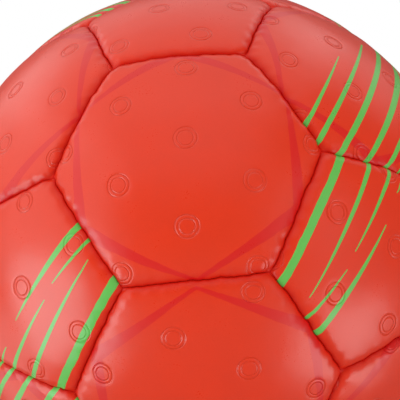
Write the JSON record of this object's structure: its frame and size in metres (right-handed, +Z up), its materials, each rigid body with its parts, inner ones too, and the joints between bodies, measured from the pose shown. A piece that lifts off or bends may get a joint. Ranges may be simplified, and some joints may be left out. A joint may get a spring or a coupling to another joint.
{
  "type": "handball",
  "caption": "Hand-stitched round handball with hexagon and pentagon cover panels over a lined bladder with a needle valve.",
  "frame": {"origin": "centre of the ball", "axes": "+Z up; +X, +Y and +Z are twofold axes of the panel layout, each through the middle of a seam between two hexagons; the pictured side faces -Y and the valve is at the back, on +Y"},
  "size_m": [0.1862, 0.1862, 0.1862],
  "materials": {
    "cover": "satin coated, fine grain",
    "lining": "woven",
    "thread": "waxed",
    "bladder": "matte",
    "valve": "matte"
  },
  "bodies": {
    "root": {"bladder": "bladder", "hexagon_linings": "lining", "hexagon_panel_01": "cover", "hexagon_panel_02": "cover", "hexagon_panel_03": "cover", "hexagon_panel_04": "cover", "hexagon_panel_05": "cover", "hexagon_panel_06": "cover", "hexagon_panel_07": "cover", "hexagon_panel_08": "cover", "hexagon_panel_09": "cover", "hexagon_panel_10": "cover", "hexagon_panel_11": "cover", "hexagon_panel_12": "cover", "hexagon_panel_13": "cover", "hexagon_panel_14": "cover", "hexagon_panel_15": "cover", "hexagon_panel_16": "cover", "hexagon_panel_17": "cover", "hexagon_panel_18": "cover", "hexagon_panel_19": "cover", "pentagon_linings": "lining", "pentagon_panel_01": "cover", "pentagon_panel_02": "cover", "pentagon_panel_03": "cover", "pentagon_panel_04": "cover", "pentagon_panel_05": "cover", "pentagon_panel_06": "cover", "pentagon_panel_07": "cover", "pentagon_panel_08": "cover", "pentagon_panel_09": "cover", "pentagon_panel_10": "cover", "pentagon_panel_11": "cover", "pentagon_panel_12": "cover", "seam_threads": "thread", "valve_housing": "valve", "valve_panel": "cover", "valve_panel_lining": "lining", "valve_plug": "valve"}
  },
  "joints": []
}
